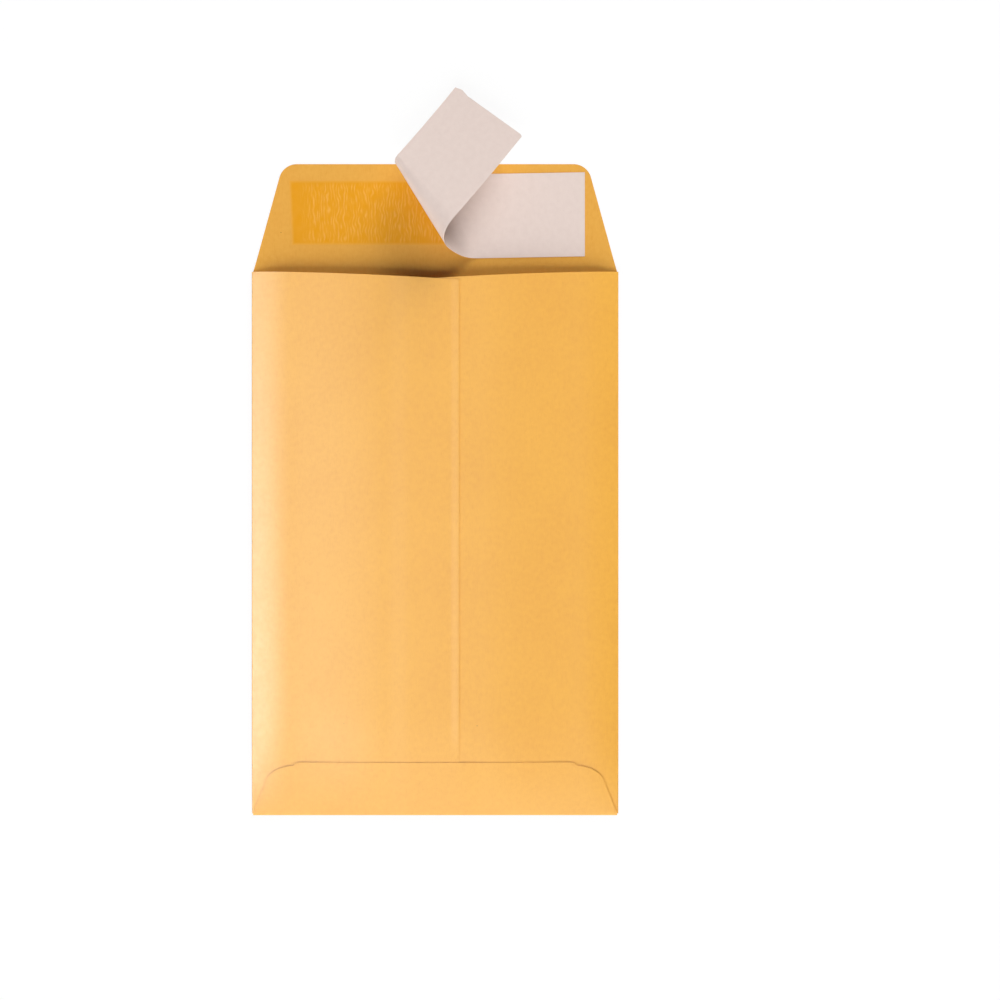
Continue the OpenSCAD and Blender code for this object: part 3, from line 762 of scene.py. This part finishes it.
class ENVELOPE_OT_adhesive(bpy.types.Operator):
    """Lay the strip of crinkled adhesive on the seal flap"""
    bl_idname = "envelope.adhesive"
    bl_label = "Lay the adhesive"

    def execute(self, context):
        settings = context.scene.envelope_adhesive
        sheet = context.scene.envelope_sheet
        liner = context.scene.envelope_liner
        strip_y = sheet.height / 2 + settings.low
        middle = strip_y - liner.under + liner.width / 2
        stuck_end = settings.length / 2 + liner.over
        side = (-math.sin(liner.roll_from), math.cos(liner.roll_from), 0.0)
        inputs = size_inputs(settings, "length", "height", "thickness", "slant", "spacing", "run", "crinkle")
        inputs["Place"] = ((0.0, strip_y + settings.height / 2, sheet.paper), "TRANSLATION")
        inputs["Peel point"] = ((stuck_end - liner.stuck, middle, sheet.paper), "TRANSLATION")
        inputs["Peel side"] = (side, "DIRECTION")
        inputs["Seed"] = (3.0, "NONE")
        tree = adhesive_tree(adhesive_film(settings, sheet.inner), inputs)
        piece = run_tree("crinkled_adhesive_strip", tree, inputs)
        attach(piece, "root")
        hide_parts("adhesive_strip")
        return {"FINISHED"}


def liner_paper(settings):
    """Silicone-coated glassine liner: dense grey-pink paper with a faint cloudy look and a dull gloss.

    The cloud follows the strip, so it reads the flat place that each point had before the roll.
    """
    material, tree = new_material("silicone_coated_liner_paper")
    add = partial(add_node, tree)
    flat = add("ShaderNodeAttribute", attribute_name="flat").outputs["Vector"]
    cloud = mottle(tree, flat, 2.6 * MM, 0.35, 0.7, 3.0, 0.6)
    grain = streaks(tree, flat, 0.1, 0.2, 0.5 * MM, 0.5, 0.8)
    amount = add(MATHS, [
        cloud, 0.55, add(MATHS, [grain, 0.25], operation="MULTIPLY")], operation="MULTIPLY_ADD")
    paper = add(BLEND, {
        0: amount, 6: rgba(settings.paper), 7: rgba(settings.cloud)}, data_type="RGBA").outputs[2]
    bump = add("ShaderNodeBump", {"Strength": 0.3, "Distance": 0.02 * MM, "Height": cloud})
    shader = add("ShaderNodeBsdfPrincipled", {
        "Base Color": paper, "Roughness": 0.75, "IOR": 1.45, "Specular IOR Level": 0.1, "Normal": bump})
    add("ShaderNodeOutputMaterial", [shader])
    return material


def fold_tree():
    """One fold of the flat strip: what lies beyond a fold line turns about it."""
    tree, ins = new_tree("fold_strip_once", {
        "Point": ((0.0, 0.0, 0.0), "TRANSLATION"), "Line angle": (0.0, "ANGLE"), "Turn": (0.0, "ANGLE")})
    tree.interface.new_socket("Geometry", in_out="INPUT", socket_type="NodeSocketGeometry")
    add = partial(add_node, tree)
    across = add(MATHS, [ins["Line angle"]], operation="COSINE")
    up = add(MATHS, [ins["Line angle"]], operation="SINE")
    flat = add("GeometryNodeInputNamedAttribute", {"Name": "flat"}, data_type="FLOAT_VECTOR")
    beyond = add(VECTORS, [
        add(VECTORS, [flat, ins["Point"]], operation="SUBTRACT"),
        add(POINT, [add(MATHS, [up, -1.0], operation="MULTIPLY"), across, 0.0])],
        operation="DOT_PRODUCT").outputs[1]
    chosen = add("FunctionNodeCompare", [beyond, 0.0], operation="GREATER_THAN", data_type="FLOAT")
    turned = add("ShaderNodeVectorRotate", {
        "Vector": add("GeometryNodeInputPosition"), "Center": ins["Point"],
        "Axis": add(POINT, [across, up, 0.0]), "Angle": ins["Turn"]}, rotation_type="AXIS_ANGLE")
    moved = add("GeometryNodeSetPosition", {
        "Geometry": ins["Geometry"], "Selection": chosen, "Position": turned})
    add("NodeGroupOutput", [moved])
    return tree


def fold_run(tree, geometry, folds, fold, line):
    """A repeat zone that folds the strip along a run of lines, from the free end backwards.

    fold is the group of one fold, and line gives the point, angle and turn of the line at share u.
    """
    add = partial(add_node, tree)
    start = add("GeometryNodeRepeatInput")
    end = add("GeometryNodeRepeatOutput")
    start.pair_with_output(end)
    start.inputs["Iterations"].default_value = folds
    tree.links.new(geometry.outputs[0], start.inputs["Geometry"])
    u = add(MATHS, [
        add(MATHS, [start.outputs["Iteration"], 0.5], operation="ADD"), -1.0 / folds, 1.0],
        operation="MULTIPLY_ADD")
    point, angle_of_line, turn = line(u)
    once = add("GeometryNodeGroup", {
        "Geometry": start.outputs["Geometry"], "Point": point, "Line angle": angle_of_line, "Turn": turn},
        node_tree=fold)
    tree.links.new(once.outputs["Geometry"], end.inputs["Geometry"])
    return end


def liner_tree(material, inputs):
    """The release liner: a flat strip folded along oblique lines into its roll and its free end."""
    tree, ins = new_tree("rolled_release_liner", inputs)
    add = partial(add_node, tree)
    roll_folds = 104
    free_folds = 40
    grid = add("GeometryNodeMeshGrid", {
        "Size X": ins["Length"], "Size Y": ins["Width"], "Vertices X": 260, "Vertices Y": 60})
    here = add("ShaderNodeSeparateXYZ", [add("GeometryNodeInputPosition")]).outputs
    half_l = add(MATHS, [ins["Length"], 0.5], operation="MULTIPLY")
    half_w = add(MATHS, [ins["Width"], 0.5], operation="MULTIPLY")
    # The free end is torn: it bulges out beside one corner, and the other corner is rounded off
    from_end = add(MATHS, [here[0], half_l], operation="ADD")
    near = add(RANGE, [from_end, 0.0, 6 * MM, 1.0, 0.0])
    beside = add(MATHS, [half_w, here[1]], operation="SUBTRACT")
    swell = add(MATHS, [
        add(RANGE, [beside, 0.2 * MM, 3 * MM]), add(RANGE, [beside, 2.8 * MM, 6.5 * MM, 1.0, 0.0])],
        operation="MULTIPLY")
    opposite = add(RANGE, [add(MATHS, [half_w, here[1]], operation="ADD"), 0.0, 1.4 * MM, 1.0, 0.0])
    torn = add(MATHS, [add(MATHS, [opposite, 2.0], operation="POWER"), ins["Nip"]], operation="MULTIPLY")
    torn = add(MATHS, [
        swell, add(MATHS, [ins["Bulge"], -1.0], operation="MULTIPLY"), torn], operation="MULTIPLY_ADD")
    torn = add(MATHS, [torn, near], operation="MULTIPLY")
    # The stuck end is cut square to the adhesive
    square = add(MATHS, [
        add(MATHS, [ins["Skew"]], operation="TANGENT"), add(RANGE, [from_end, 0.0, ins["Length"]])],
        operation="MULTIPLY")
    x = add(MATHS, [
        square, here[1], add(MATHS, [here[0], half_l], operation="SUBTRACT")], operation="MULTIPLY_ADD")
    shaped = add(POINT, [add(MATHS, [x, torn], operation="ADD"), here[1], 0.0])
    strip = add("GeometryNodeSetPosition", {"Geometry": grid, "Position": shaped})
    strip = add("GeometryNodeStoreNamedAttribute", {
        "Geometry": strip, "Name": "flat", "Value": add("GeometryNodeInputPosition")},
        data_type="FLOAT_VECTOR", domain="POINT")
    fold = fold_tree()
    free = add(MATHS, [
        add(MATHS, [ins["Length"], ins["Stuck"]], operation="SUBTRACT"), ins["Roll"]],
        operation="SUBTRACT")
    stuck_and_roll = add(MATHS, [ins["Stuck"], ins["Roll"]], operation="ADD")

    def fold_point(start, run, u):
        along = add(MATHS, [run, u, start], operation="MULTIPLY_ADD")
        return add(POINT, [add(MATHS, [along, -1.0], operation="MULTIPLY"), 0.0, 0.0])

    def free_line(u):
        lean = add(MATHS, [math.pi / 2, ins["Roll to"]], operation="SUBTRACT")
        angle_of_line = add(MATHS, [lean, u, ins["Roll to"]], operation="MULTIPLY_ADD")
        turn = add(MATHS, [ins["Free turn"], -1.0 / free_folds], operation="MULTIPLY")
        return fold_point(stuck_and_roll, free, u), angle_of_line, turn

    def roll_line(u):
        lean = add(MATHS, [ins["Roll to"], ins["Roll from"]], operation="SUBTRACT")
        away = add(MATHS, [u, 2.0, -1.0], operation="MULTIPLY_ADD")
        part = add(MATHS, [away, ins["Tighten"], 1.0], operation="MULTIPLY_ADD")
        ends = add(MATHS, [add(MATHS, [away], operation="ABSOLUTE"), 0.5], operation="SUBTRACT")
        part = add(MATHS, [ends, ins["Flatten"], part], operation="MULTIPLY_ADD")
        turn = add(MATHS, [
            add(MATHS, [ins["Roll turn"], part], operation="MULTIPLY"), 1.0 / roll_folds],
            operation="MULTIPLY")
        halfway = add(MATHS, [1.0, add(MATHS, [away, away], operation="MULTIPLY")], operation="SUBTRACT")
        bow = add(MATHS, [ins["Roll bow"], halfway], operation="MULTIPLY")
        angle_of_line = add(MATHS, [
            lean, u, add(MATHS, [ins["Roll from"], bow], operation="ADD")], operation="MULTIPLY_ADD")
        return fold_point(ins["Stuck"], ins["Roll"], u), angle_of_line, turn

    strip = fold_run(tree, strip, free_folds, fold, free_line)
    strip = fold_run(tree, strip, roll_folds, fold, roll_line)
    turned = add("ShaderNodeVectorRotate", {
        "Vector": add("GeometryNodeInputPosition"), "Angle": ins["Skew"]}, rotation_type="Z_AXIS")
    strip = add("GeometryNodeSetPosition", {"Geometry": strip, "Position": turned, "Offset": ins["Place"]})
    finish_tree(tree, thicken(tree, strip, ins["Thickness"]), material)
    return tree


class ENVELOPE_OT_liner(bpy.types.Operator):
    """Roll the release liner back from the adhesive"""
    bl_idname = "envelope.liner"
    bl_label = "Roll the liner"

    def execute(self, context):
        settings = context.scene.envelope_liner
        sheet = context.scene.envelope_sheet
        strip = context.scene.envelope_adhesive
        middle = sheet.height / 2 + strip.low - settings.under + settings.width / 2
        level = sheet.paper + strip.thickness + settings.thickness / 2
        inputs = size_inputs(
            settings, "length", "width", "thickness", "stuck", "roll", "roll_from", "roll_to", "roll_turn",
            "tighten", "flatten", "free_turn", "bulge", "nip", "skew", "roll_bow")
        inputs["Place"] = ((strip.length / 2 + settings.over, middle, level), "TRANSLATION")
        tree = liner_tree(liner_paper(settings), inputs)
        piece = run_tree("rolled_release_liner", tree, inputs)
        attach(piece, "root")
        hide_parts("release_liner")
        return {"FINISHED"}


def dried_glue():
    """Dried dextrin glue: a thin yellowish film, cloudy and slightly glossy."""
    material, tree = new_material("dried_dextrin_glue")
    add = partial(add_node, tree)
    place = add("ShaderNodeTexCoord").outputs["Object"]
    cloud = mottle(tree, place, 3 * MM, 0.3, 0.7, 3.0)
    film = add(BLEND, {
        0: cloud, 6: rgba(linear("#d9c48f")), 7: rgba(linear("#c9a868"))}, data_type="RGBA").outputs[2]
    shader = add("ShaderNodeBsdfPrincipled", {
        "Base Color": film, "Roughness": add(RANGE, [cloud, 0.0, 1.0, 0.3, 0.5]), "IOR": 1.5})
    add("ShaderNodeOutputMaterial", [shader])
    return material


class ENVELOPE_OT_glue(bpy.types.Operator):
    """Give the hidden glue films of the CAD model their finish"""
    bl_idname = "envelope.glue"
    bl_label = "Finish the glue films"

    def execute(self, context):
        material = dried_glue()
        for name in ("seam_glue", "bottom_flap_glue"):
            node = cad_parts[name]
            node.data.materials.clear()
            node.data.materials.append(material)
        return {"FINISHED"}


def white_to_camera(tree):
    """1 for rays that come straight from the camera, or in a mirror or clear thing, else 0."""
    add = partial(add_node, tree)
    path = add("ShaderNodeLightPath").outputs
    seen = add(MATHS, [path["Is Camera Ray"], path["Is Glossy Ray"]], operation="MAXIMUM")
    return add(MATHS, [seen, path["Is Transmission Ray"]], operation="MAXIMUM")


def studio_floor(settings):
    """Matt white table: mostly plain white to the camera, and it keeps the object's shadow."""
    material, tree = new_material("matt_white_table")
    add = partial(add_node, tree)
    matt = add("ShaderNodeBsdfPrincipled", {
        "Base Color": rgba(settings.floor), "Roughness": 0.9, "IOR": 1.3})
    glow = add("ShaderNodeEmission", {"Color": (1.0, 1.0, 1.0, 1.0), "Strength": 1.0})
    factor = add(MATHS, [white_to_camera(tree), settings.floor_glow], operation="MULTIPLY")
    shader = add("ShaderNodeMixShader", [factor, matt, glow])
    add("ShaderNodeOutputMaterial", [shader])
    return material


def area_lamp(name, place, size, power):
    """A soft square lamp that points at the envelope and doesn't show itself."""
    lamp = bpy.data.lights.new(name, "AREA")
    lamp.shape = "SQUARE"
    lamp.size = size
    lamp.energy = power
    holder = bpy.data.objects.new(name, lamp)
    bpy.context.scene.collection.objects.link(holder)
    holder.location = place
    holder.rotation_euler = Vector(place).to_track_quat("Z", "Y").to_euler()
    holder.visible_camera = False
    return holder


class ENVELOPE_OT_stage(bpy.types.Operator):
    """Set up the floor, the lamps, the white surroundings and the camera"""
    bl_idname = "envelope.stage"
    bl_label = "Set the stage"

    def execute(self, context):
        settings = context.scene.envelope_studio
        edge = 3.0
        low = -0.05 * MM
        corners = [(-edge, -edge, low), (edge, -edge, low), (edge, edge, low), (-edge, edge, low)]
        mesh = bpy.data.meshes.new("table")
        mesh.from_pydata(corners, [], [(0, 1, 2, 3)])
        mesh.materials.append(studio_floor(settings))
        link("table", mesh)
        area_lamp("key_lamp", (-0.3, -2.33, 1.75), 3.4, settings.key)
        area_lamp("far_fill", (0.9, 2.2, 0.9), 1.3, settings.fill)
        # A card on the left that shows only as a sheen on the glazed paper
        card = area_lamp("sheen_card", (-0.85, -0.2, 1.1), 0.8, settings.sheen)
        card.visible_diffuse = False
        world = bpy.data.worlds.new("white_surroundings")
        context.scene.world = world
        world.use_nodes = True
        tree = world.node_tree
        tree.nodes.clear()
        add = partial(add_node, tree)
        strength = add(MATHS, [
            white_to_camera(tree), 1.0 - settings.sky, settings.sky], operation="MULTIPLY_ADD")
        shell = add("ShaderNodeBackground", {"Color": (1.0, 1.0, 1.0, 1.0), "Strength": strength})
        add("ShaderNodeOutputWorld", {"Surface": shell})
        camera = bpy.data.cameras.new("camera")
        camera.lens = settings.focal
        camera.sensor_width = 36.0
        camera.clip_end = 20.0
        holder = bpy.data.objects.new("camera", camera)
        context.scene.collection.objects.link(holder)
        holder.location = settings.camera
        context.scene.camera = holder
        context.scene.view_settings.view_transform = "Standard"
        return {"FINISHED"}


class ENVELOPE_PT_panel(bpy.types.Panel):
    """Lists the sizes and colours, and the pieces"""
    bl_idname = "ENVELOPE_PT_panel"
    bl_label = "Paper envelope"
    bl_space_type = "VIEW_3D"
    bl_region_type = "UI"
    bl_category = "Envelope"

    def draw(self, context):
        for name, settings, operators in GROUPS:
            box = self.layout.box()
            for setting in settings.__annotations__:
                box.prop(getattr(context.scene, name), setting)
            for operator in operators:
                box.operator(operator.bl_idname)


GROUPS = (
    ("envelope_sheet", SheetSettings, (ENVELOPE_OT_sheet, ENVELOPE_OT_glue)),
    ("envelope_adhesive", AdhesiveSettings, (ENVELOPE_OT_adhesive,)),
    ("envelope_liner", LinerSettings, (ENVELOPE_OT_liner,)),
    ("envelope_studio", StudioSettings, (ENVELOPE_OT_stage,)),
)
CLASSES = [kind for _, settings, operators in GROUPS for kind in (settings, *operators)]
CLASSES.append(ENVELOPE_PT_panel)


def register():
    for kind in CLASSES:
        bpy.utils.register_class(kind)
    for name, settings, _ in GROUPS:
        setattr(bpy.types.Scene, name, bpy.props.PointerProperty(type=settings))


def unregister():
    for name, _, _ in GROUPS:
        delattr(bpy.types.Scene, name)
    for kind in reversed(CLASSES):
        bpy.utils.unregister_class(kind)


def main():
    register()
    bpy.ops.envelope.sheet()
    bpy.ops.envelope.adhesive()
    bpy.ops.envelope.liner()
    bpy.ops.envelope.glue()
    bpy.ops.envelope.stage()


if __name__ == "__main__":
    main()
